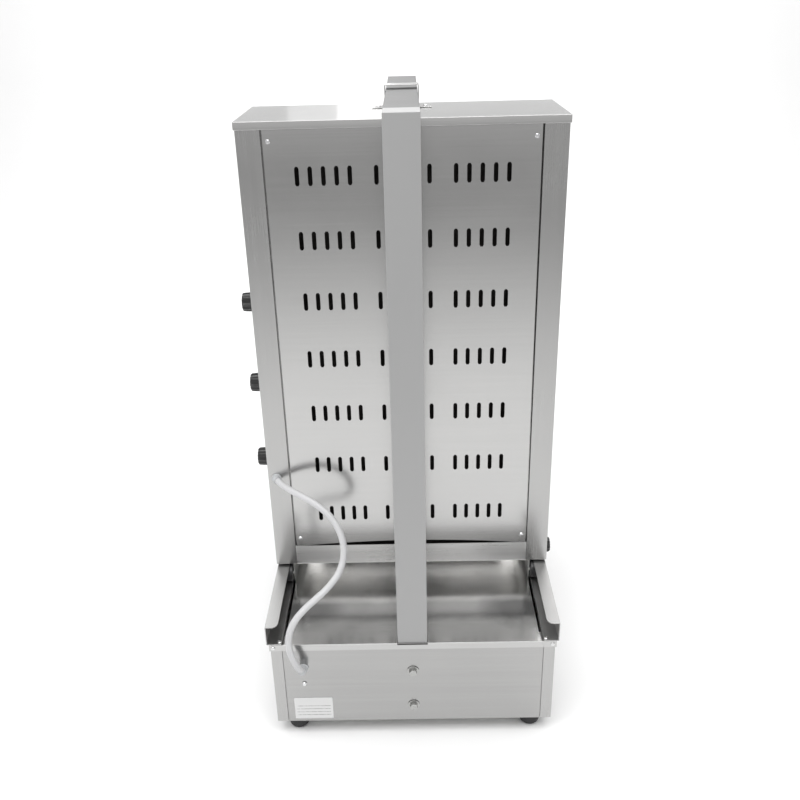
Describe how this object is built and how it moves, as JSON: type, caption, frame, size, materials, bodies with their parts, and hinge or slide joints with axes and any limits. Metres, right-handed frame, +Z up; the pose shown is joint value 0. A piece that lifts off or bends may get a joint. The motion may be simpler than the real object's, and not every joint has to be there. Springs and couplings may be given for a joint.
{
  "type": "vertical rotisserie oven",
  "caption": "Electric vertical rotisserie grill with a sliding heater tower on a box base, a rear column and overhead arm, and a turning upright spit.",
  "frame": {"origin": "on the floor plane, under the middle of the base", "axes": "+Z up, -Y towards the operator at the front, +X to the operator's right"},
  "size_m": [0.5464, 0.6821, 1.062],
  "materials": {
    "brushed_sheet": "brushed stainless sheet",
    "zinc_sheet": "plain folded sheet, satin",
    "bright_fastener": "bright plated",
    "bright_steel": "smooth stainless, bright",
    "black_rubber": "matt black rubber",
    "element_sheath": "dark heat-tinted sheath",
    "black_plastic": "black moulded plastic, satin",
    "red_plastic": "red gloss",
    "motor_can": "dark painted can",
    "grey_plastic": "light grey moulded"
  },
  "bodies": {
    "base": {"arm_end_cap": "black_plastic", "base_bottom_plate": "zinc_sheet", "base_rear_panel": "brushed_sheet", "base_shell": "brushed_sheet", "column": "brushed_sheet", "column_bolt_lower": "bright_fastener", "column_bolt_upper": "bright_fastener", "conduit": "grey_plastic", "conduit_grommet": "grey_plastic", "deck_plate": "brushed_sheet", "drip_tray": "bright_steel", "drive_motor": "motor_can", "earth_screw": "bright_fastener", "foot_front_left": "black_rubber", "foot_front_right": "black_rubber", "foot_rear_left": "black_rubber", "foot_rear_right": "black_rubber", "gearbox": "grey_plastic", "mains_gland": "black_plastic", "motor_bracket": "zinc_sheet", "motor_switch_housing": "black_plastic", "rail_left": "brushed_sheet", "rail_right": "brushed_sheet", "top_arm": "brushed_sheet", "top_bush": "bright_steel"},
    "spit": {"drive_shaft": "bright_steel", "spit_plate": "bright_steel", "spit_rod": "bright_steel"},
    "tower": {"conduit_gland": "grey_plastic", "front_guard": "bright_steel", "guide_strap": "brushed_sheet", "heating_element_1": "element_sheath", "heating_element_2": "element_sheath", "heating_element_3": "element_sheath", "keel_left": "zinc_sheet", "keel_right": "zinc_sheet", "panel_screw_bottom_left": "bright_fastener", "panel_screw_bottom_right": "bright_fastener", "panel_screw_top_left": "bright_fastener", "panel_screw_top_right": "bright_fastener", "tower_floor": "brushed_sheet", "tower_rear_panel": "brushed_sheet", "tower_reflector": "bright_steel", "tower_side_left": "brushed_sheet", "tower_side_right": "brushed_sheet", "tower_top_cover": "brushed_sheet", "zone_regulator_1": "grey_plastic", "zone_regulator_2": "grey_plastic", "zone_regulator_3": "grey_plastic"},
    "clamp_knob": {"clamp_knob": "black_plastic"},
    "motor_switch_rocker": {"motor_switch_rocker": "red_plastic"},
    "roller_front_left": {"roller_front_left": "black_plastic"},
    "roller_front_right": {"roller_front_right": "black_plastic"},
    "roller_rear_left": {"roller_rear_left": "black_plastic"},
    "roller_rear_right": {"roller_rear_right": "black_plastic"},
    "zone_knob_1": {"zone_knob_1": "black_plastic"},
    "zone_knob_2": {"zone_knob_2": "black_plastic"},
    "zone_knob_3": {"zone_knob_3": "black_plastic"}
  },
  "joints": [
    {"name": "tower_slide", "type": "slide", "parent": "base", "child": "tower", "axis": [0, 1, 0], "range_m": [-0.05, 0.1], "deforming": ["conduit"]},
    {"name": "spit_spin", "type": "hinge", "parent": "base", "child": "spit", "pos_m": [0, -0.165, 0.2225], "axis": [0, 0, 1], "continuous": true},
    {"name": "zone_1_turn", "type": "hinge", "parent": "tower", "child": "zone_knob_1", "pos_m": [0.248, 0.055, 0.4175], "axis": [1, 0, 0], "range_deg": [0, 270]},
    {"name": "zone_2_turn", "type": "hinge", "parent": "tower", "child": "zone_knob_2", "pos_m": [0.248, 0.055, 0.5677], "axis": [1, 0, 0], "range_deg": [0, 270]},
    {"name": "zone_3_turn", "type": "hinge", "parent": "tower", "child": "zone_knob_3", "pos_m": [0.248, 0.055, 0.7179], "axis": [1, 0, 0], "range_deg": [0, 270]},
    {"name": "clamp_turn", "type": "hinge", "parent": "tower", "child": "clamp_knob", "pos_m": [-0.2462, 0.068, 0.2196], "axis": [-1, 0, 0], "range_deg": [0, 180]},
    {"name": "roller_front_left_roll", "type": "hinge", "parent": "tower", "child": "roller_front_left", "pos_m": [-0.219, -0.016, 0.2196], "axis": [1, 0, 0], "range_deg": [-349, 175]},
    {"name": "roller_front_right_roll", "type": "hinge", "parent": "tower", "child": "roller_front_right", "pos_m": [0.219, -0.016, 0.2196], "axis": [1, 0, 0], "range_deg": [-349, 175]},
    {"name": "roller_rear_left_roll", "type": "hinge", "parent": "tower", "child": "roller_rear_left", "pos_m": [-0.219, 0.146, 0.2196], "axis": [1, 0, 0], "range_deg": [-349, 175]},
    {"name": "roller_rear_right_roll", "type": "hinge", "parent": "tower", "child": "roller_rear_right", "pos_m": [0.219, 0.146, 0.2196], "axis": [1, 0, 0], "range_deg": [-349, 175]},
    {"name": "switch_rock", "type": "hinge", "parent": "base", "child": "motor_switch_rocker", "pos_m": [0.16, -0.3233, 0.115], "axis": [1, 0, 0], "range_deg": [0, 16]}
  ],
  "couplings": [
    {"joint": "roller_front_left_roll", "follows": "tower_slide", "rad_per_m": -60.606},
    {"joint": "roller_front_right_roll", "follows": "tower_slide", "rad_per_m": -60.606},
    {"joint": "roller_rear_left_roll", "follows": "tower_slide", "rad_per_m": -60.606},
    {"joint": "roller_rear_right_roll", "follows": "tower_slide", "rad_per_m": -60.606}
  ]
}
